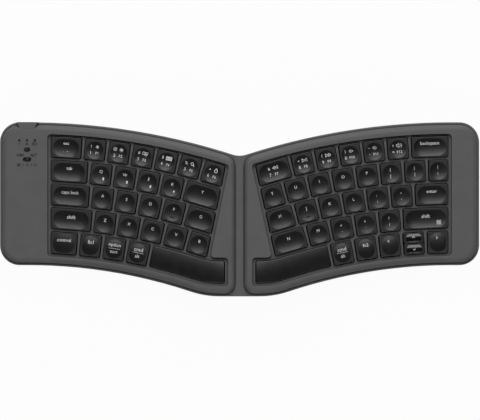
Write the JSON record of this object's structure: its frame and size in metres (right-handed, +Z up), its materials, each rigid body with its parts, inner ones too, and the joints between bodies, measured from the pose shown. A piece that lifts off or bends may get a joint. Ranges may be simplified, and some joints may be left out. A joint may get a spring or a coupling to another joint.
{
  "type": "ergonomic keyboard",
  "caption": "Wide, tented ergonomic keyboard with left and right curved key fields that press down, bent spacebars, slide switches and a charging port at the rear left.",
  "frame": {"origin": "on the desk under the middle of the case", "axes": "+X to the right along the case, +Y to the rear, away from the typist, +Z up"},
  "size_m": [0.38, 0.1378, 0.0294],
  "materials": {
    "case_plastic": "fine matte, charcoal grey",
    "key_plastic": "matte black",
    "frame_plastic": "plain black",
    "dome_rubber": "soft, pale grey",
    "film": "clear film with printed tracks",
    "plate_steel": "zinc plated",
    "board": "solder mask, green",
    "port_steel": "bright shell",
    "switch_plastic": "plain black",
    "light_plastic": "clear, frosted tips",
    "battery_foil": "foil pouch",
    "lead_cover": "red sheath",
    "screw_steel": "black zinc",
    "foot_rubber": "soft black"
  },
  "bodies": {
    "case": {"top_case": "case_plastic", "bottom_case": "case_plastic", "key_frame_left": "frame_plastic", "key_frame_right": "frame_plastic", "dome_sheet_left": "dome_rubber", "dome_sheet_right": "dome_rubber", "circuit_film": "film", "backing_plate_left": "plate_steel", "backing_plate_right": "plate_steel", "controller_board": "board", "charging_port": "port_steel", "switch_housings": "switch_plastic", "light_pipe": "light_plastic", "battery_pack": "battery_foil", "battery_lead": "lead_cover", "case_screws": "screw_steel", "plate_screws": "screw_steel", "rubber_feet": "foot_rubber"},
    "layout_switch": {"layout_switch_knob": "switch_plastic"},
    "mode_switch": {"mode_switch_knob": "switch_plastic"},
    "wire_left": {"space_wire_left": "plate_steel"},
    "wire_right": {"space_wire_right": "plate_steel"},
    "key_esc": {"key_esc": "key_plastic"},
    "keys_1_to_5": {"keys_1_to_5": "key_plastic"},
    "key_6": {"key_6": "key_plastic"},
    "key_tab": {"key_tab": "key_plastic"},
    "keys_q_to_r": {"keys_q_to_r": "key_plastic"},
    "key_t": {"key_t": "key_plastic"},
    "key_caps_lock": {"key_caps_lock": "key_plastic"},
    "keys_a_to_d": {"keys_a_to_d": "key_plastic"},
    "key_f": {"key_f": "key_plastic"},
    "key_g": {"key_g": "key_plastic"},
    "key_shift_left": {"key_shift_left": "key_plastic"},
    "keys_z_to_v": {"keys_z_to_v": "key_plastic"},
    "key_b": {"key_b": "key_plastic"},
    "key_control": {"key_control": "key_plastic"},
    "key_fn1": {"key_fn1": "key_plastic"},
    "key_alt_left": {"key_alt_left": "key_plastic"},
    "key_command_left": {"key_command_left": "key_plastic"},
    "key_space_left": {"key_space_left": "key_plastic"},
    "key_backspace": {"key_backspace": "key_plastic"},
    "keys_8_to_equals": {"keys_8_to_equals": "key_plastic"},
    "key_7": {"key_7": "key_plastic"},
    "key_backslash": {"key_backslash": "key_plastic"},
    "keys_u_to_bracket": {"keys_u_to_bracket": "key_plastic"},
    "key_y": {"key_y": "key_plastic"},
    "key_enter": {"key_enter": "key_plastic"},
    "keys_k_to_quote": {"keys_k_to_quote": "key_plastic"},
    "key_j": {"key_j": "key_plastic"},
    "key_h": {"key_h": "key_plastic"},
    "key_shift_right": {"key_shift_right": "key_plastic"},
    "keys_m_to_slash": {"keys_m_to_slash": "key_plastic"},
    "key_n": {"key_n": "key_plastic"},
    "key_arrow_right": {"key_arrow_right": "key_plastic"},
    "key_arrow_up": {"key_arrow_up": "key_plastic"},
    "key_arrow_down": {"key_arrow_down": "key_plastic"},
    "key_arrow_left": {"key_arrow_left": "key_plastic"},
    "key_fn2": {"key_fn2": "key_plastic"},
    "key_command_right": {"key_command_right": "key_plastic"},
    "key_space_right": {"key_space_right": "key_plastic"}
  },
  "joints": [
    {"name": "key_esc_press", "type": "slide", "parent": "case", "child": "key_esc", "axis": [0.0906, 0, -0.9959], "range_m": [0, 0.0018], "stiffness_N_per_m": 250, "springref_m": -0.001, "deforming": ["dome_sheet_left"]},
    {"name": "keys_1_to_5_press", "type": "slide", "parent": "case", "child": "keys_1_to_5", "axis": [0.0906, 0, -0.9959], "range_m": [0, 0.0018], "stiffness_N_per_m": 1250, "springref_m": -0.001, "deforming": ["dome_sheet_left"]},
    {"name": "key_6_press", "type": "slide", "parent": "case", "child": "key_6", "axis": [0.0906, 0, -0.9959], "range_m": [0, 0.0018], "stiffness_N_per_m": 250, "springref_m": -0.001, "deforming": ["dome_sheet_left"]},
    {"name": "key_tab_press", "type": "slide", "parent": "case", "child": "key_tab", "axis": [0.0906, 0, -0.9959], "range_m": [0, 0.0018], "stiffness_N_per_m": 250, "springref_m": -0.001, "deforming": ["dome_sheet_left"]},
    {"name": "keys_q_to_r_press", "type": "slide", "parent": "case", "child": "keys_q_to_r", "axis": [0.0906, 0, -0.9959], "range_m": [0, 0.0018], "stiffness_N_per_m": 1000, "springref_m": -0.001, "deforming": ["dome_sheet_left"]},
    {"name": "key_t_press", "type": "slide", "parent": "case", "child": "key_t", "axis": [0.0906, 0, -0.9959], "range_m": [0, 0.0018], "stiffness_N_per_m": 250, "springref_m": -0.001, "deforming": ["dome_sheet_left"]},
    {"name": "key_caps_lock_press", "type": "slide", "parent": "case", "child": "key_caps_lock", "axis": [0.0906, 0, -0.9959], "range_m": [0, 0.0018], "stiffness_N_per_m": 250, "springref_m": -0.001, "deforming": ["dome_sheet_left"]},
    {"name": "keys_a_to_d_press", "type": "slide", "parent": "case", "child": "keys_a_to_d", "axis": [0.0906, 0, -0.9959], "range_m": [0, 0.0018], "stiffness_N_per_m": 750, "springref_m": -0.001, "deforming": ["dome_sheet_left"]},
    {"name": "key_f_press", "type": "slide", "parent": "case", "child": "key_f", "axis": [0.0906, 0, -0.9959], "range_m": [0, 0.0018], "stiffness_N_per_m": 250, "springref_m": -0.001, "deforming": ["dome_sheet_left"]},
    {"name": "key_g_press", "type": "slide", "parent": "case", "child": "key_g", "axis": [0.0906, 0, -0.9959], "range_m": [0, 0.0018], "stiffness_N_per_m": 250, "springref_m": -0.001, "deforming": ["dome_sheet_left"]},
    {"name": "key_shift_left_press", "type": "slide", "parent": "case", "child": "key_shift_left", "axis": [0.0906, 0, -0.9959], "range_m": [0, 0.0018], "stiffness_N_per_m": 250, "springref_m": -0.001, "deforming": ["dome_sheet_left"]},
    {"name": "keys_z_to_v_press", "type": "slide", "parent": "case", "child": "keys_z_to_v", "axis": [0.0906, 0, -0.9959], "range_m": [0, 0.0018], "stiffness_N_per_m": 1000, "springref_m": -0.001, "deforming": ["dome_sheet_left"]},
    {"name": "key_b_press", "type": "slide", "parent": "case", "child": "key_b", "axis": [0.0906, 0, -0.9959], "range_m": [0, 0.0018], "stiffness_N_per_m": 250, "springref_m": -0.001, "deforming": ["dome_sheet_left"]},
    {"name": "key_control_press", "type": "slide", "parent": "case", "child": "key_control", "axis": [0.0906, 0, -0.9959], "range_m": [0, 0.0018], "stiffness_N_per_m": 250, "springref_m": -0.001, "deforming": ["dome_sheet_left"]},
    {"name": "key_fn1_press", "type": "slide", "parent": "case", "child": "key_fn1", "axis": [0.0906, 0, -0.9959], "range_m": [0, 0.0018], "stiffness_N_per_m": 250, "springref_m": -0.001, "deforming": ["dome_sheet_left"]},
    {"name": "key_alt_left_press", "type": "slide", "parent": "case", "child": "key_alt_left", "axis": [0.0906, 0, -0.9959], "range_m": [0, 0.0018], "stiffness_N_per_m": 250, "springref_m": -0.001, "deforming": ["dome_sheet_left"]},
    {"name": "key_command_left_press", "type": "slide", "parent": "case", "child": "key_command_left", "axis": [0.0906, 0, -0.9959], "range_m": [0, 0.0018], "stiffness_N_per_m": 250, "springref_m": -0.001, "deforming": ["dome_sheet_left"]},
    {"name": "key_space_left_press", "type": "slide", "parent": "case", "child": "key_space_left", "axis": [0.0906, 0, -0.9959], "range_m": [0, 0.0018], "stiffness_N_per_m": 250, "springref_m": -0.001, "deforming": ["dome_sheet_left"]},
    {"name": "key_backspace_press", "type": "slide", "parent": "case", "child": "key_backspace", "axis": [-0.0906, 0, -0.9959], "range_m": [0, 0.0018], "stiffness_N_per_m": 250, "springref_m": -0.001, "deforming": ["dome_sheet_right"]},
    {"name": "keys_8_to_equals_press", "type": "slide", "parent": "case", "child": "keys_8_to_equals", "axis": [-0.0906, 0, -0.9959], "range_m": [0, 0.0018], "stiffness_N_per_m": 1250, "springref_m": -0.001, "deforming": ["dome_sheet_right"]},
    {"name": "key_7_press", "type": "slide", "parent": "case", "child": "key_7", "axis": [-0.0906, 0, -0.9959], "range_m": [0, 0.0018], "stiffness_N_per_m": 250, "springref_m": -0.001, "deforming": ["dome_sheet_right"]},
    {"name": "key_backslash_press", "type": "slide", "parent": "case", "child": "key_backslash", "axis": [-0.0906, 0, -0.9959], "range_m": [0, 0.0018], "stiffness_N_per_m": 250, "springref_m": -0.001, "deforming": ["dome_sheet_right"]},
    {"name": "keys_u_to_bracket_press", "type": "slide", "parent": "case", "child": "keys_u_to_bracket", "axis": [-0.0906, 0, -0.9959], "range_m": [0, 0.0018], "stiffness_N_per_m": 1500, "springref_m": -0.001, "deforming": ["dome_sheet_right"]},
    {"name": "key_y_press", "type": "slide", "parent": "case", "child": "key_y", "axis": [-0.0906, 0, -0.9959], "range_m": [0, 0.0018], "stiffness_N_per_m": 250, "springref_m": -0.001, "deforming": ["dome_sheet_right"]},
    {"name": "key_enter_press", "type": "slide", "parent": "case", "child": "key_enter", "axis": [-0.0906, 0, -0.9959], "range_m": [0, 0.0018], "stiffness_N_per_m": 250, "springref_m": -0.001, "deforming": ["dome_sheet_right"]},
    {"name": "keys_k_to_quote_press", "type": "slide", "parent": "case", "child": "keys_k_to_quote", "axis": [-0.0906, 0, -0.9959], "range_m": [0, 0.0018], "stiffness_N_per_m": 1000, "springref_m": -0.001, "deforming": ["dome_sheet_right"]},
    {"name": "key_j_press", "type": "slide", "parent": "case", "child": "key_j", "axis": [-0.0906, 0, -0.9959], "range_m": [0, 0.0018], "stiffness_N_per_m": 250, "springref_m": -0.001, "deforming": ["dome_sheet_right"]},
    {"name": "key_h_press", "type": "slide", "parent": "case", "child": "key_h", "axis": [-0.0906, 0, -0.9959], "range_m": [0, 0.0018], "stiffness_N_per_m": 250, "springref_m": -0.001, "deforming": ["dome_sheet_right"]},
    {"name": "key_shift_right_press", "type": "slide", "parent": "case", "child": "key_shift_right", "axis": [-0.0906, 0, -0.9959], "range_m": [0, 0.0018], "stiffness_N_per_m": 250, "springref_m": -0.001, "deforming": ["dome_sheet_right"]},
    {"name": "keys_m_to_slash_press", "type": "slide", "parent": "case", "child": "keys_m_to_slash", "axis": [-0.0906, 0, -0.9959], "range_m": [0, 0.0018], "stiffness_N_per_m": 1000, "springref_m": -0.001, "deforming": ["dome_sheet_right"]},
    {"name": "key_n_press", "type": "slide", "parent": "case", "child": "key_n", "axis": [-0.0906, 0, -0.9959], "range_m": [0, 0.0018], "stiffness_N_per_m": 250, "springref_m": -0.001, "deforming": ["dome_sheet_right"]},
    {"name": "key_arrow_right_press", "type": "slide", "parent": "case", "child": "key_arrow_right", "axis": [-0.0906, 0, -0.9959], "range_m": [0, 0.0018], "stiffness_N_per_m": 250, "springref_m": -0.001, "deforming": ["dome_sheet_right"]},
    {"name": "key_arrow_up_press", "type": "slide", "parent": "case", "child": "key_arrow_up", "axis": [-0.0906, 0, -0.9959], "range_m": [0, 0.0018], "stiffness_N_per_m": 250, "springref_m": -0.001, "deforming": ["dome_sheet_right"]},
    {"name": "key_arrow_down_press", "type": "slide", "parent": "case", "child": "key_arrow_down", "axis": [-0.0906, 0, -0.9959], "range_m": [0, 0.0018], "stiffness_N_per_m": 250, "springref_m": -0.001, "deforming": ["dome_sheet_right"]},
    {"name": "key_arrow_left_press", "type": "slide", "parent": "case", "child": "key_arrow_left", "axis": [-0.0906, 0, -0.9959], "range_m": [0, 0.0018], "stiffness_N_per_m": 250, "springref_m": -0.001, "deforming": ["dome_sheet_right"]},
    {"name": "key_fn2_press", "type": "slide", "parent": "case", "child": "key_fn2", "axis": [-0.0906, 0, -0.9959], "range_m": [0, 0.0018], "stiffness_N_per_m": 250, "springref_m": -0.001, "deforming": ["dome_sheet_right"]},
    {"name": "key_command_right_press", "type": "slide", "parent": "case", "child": "key_command_right", "axis": [-0.0906, 0, -0.9959], "range_m": [0, 0.0018], "stiffness_N_per_m": 250, "springref_m": -0.001, "deforming": ["dome_sheet_right"]},
    {"name": "key_space_right_press", "type": "slide", "parent": "case", "child": "key_space_right", "axis": [-0.0906, 0, -0.9959], "range_m": [0, 0.0018], "stiffness_N_per_m": 250, "springref_m": -0.001, "deforming": ["dome_sheet_right"]},
    {"name": "layout_switch_slide", "type": "slide", "parent": "case", "child": "layout_switch", "axis": [0.9959, 0, 0.0906], "range_m": [0, 0.002]},
    {"name": "mode_switch_slide", "type": "slide", "parent": "case", "child": "mode_switch", "axis": [0.9959, 0, 0.0906], "range_m": [-0.0019, 0.0019]},
    {"name": "space_wire_left_swing", "type": "hinge", "parent": "case", "child": "wire_left", "pos_m": [-0.03878, -0.04057, 0.02203], "axis": [0.9526, -0.2915, 0.0867], "range_deg": [0, 10.94]},
    {"name": "space_wire_right_swing", "type": "hinge", "parent": "case", "child": "wire_right", "pos_m": [0.03975, -0.04027, 0.02194], "axis": [0.9533, 0.2893, -0.0868], "range_deg": [0, 10.94]}
  ],
  "couplings": [
    {"joint": "space_wire_left_swing", "follows": "key_space_left_press", "rad_per_m": 105.9},
    {"joint": "space_wire_right_swing", "follows": "key_space_right_press", "rad_per_m": 105.9}
  ]
}
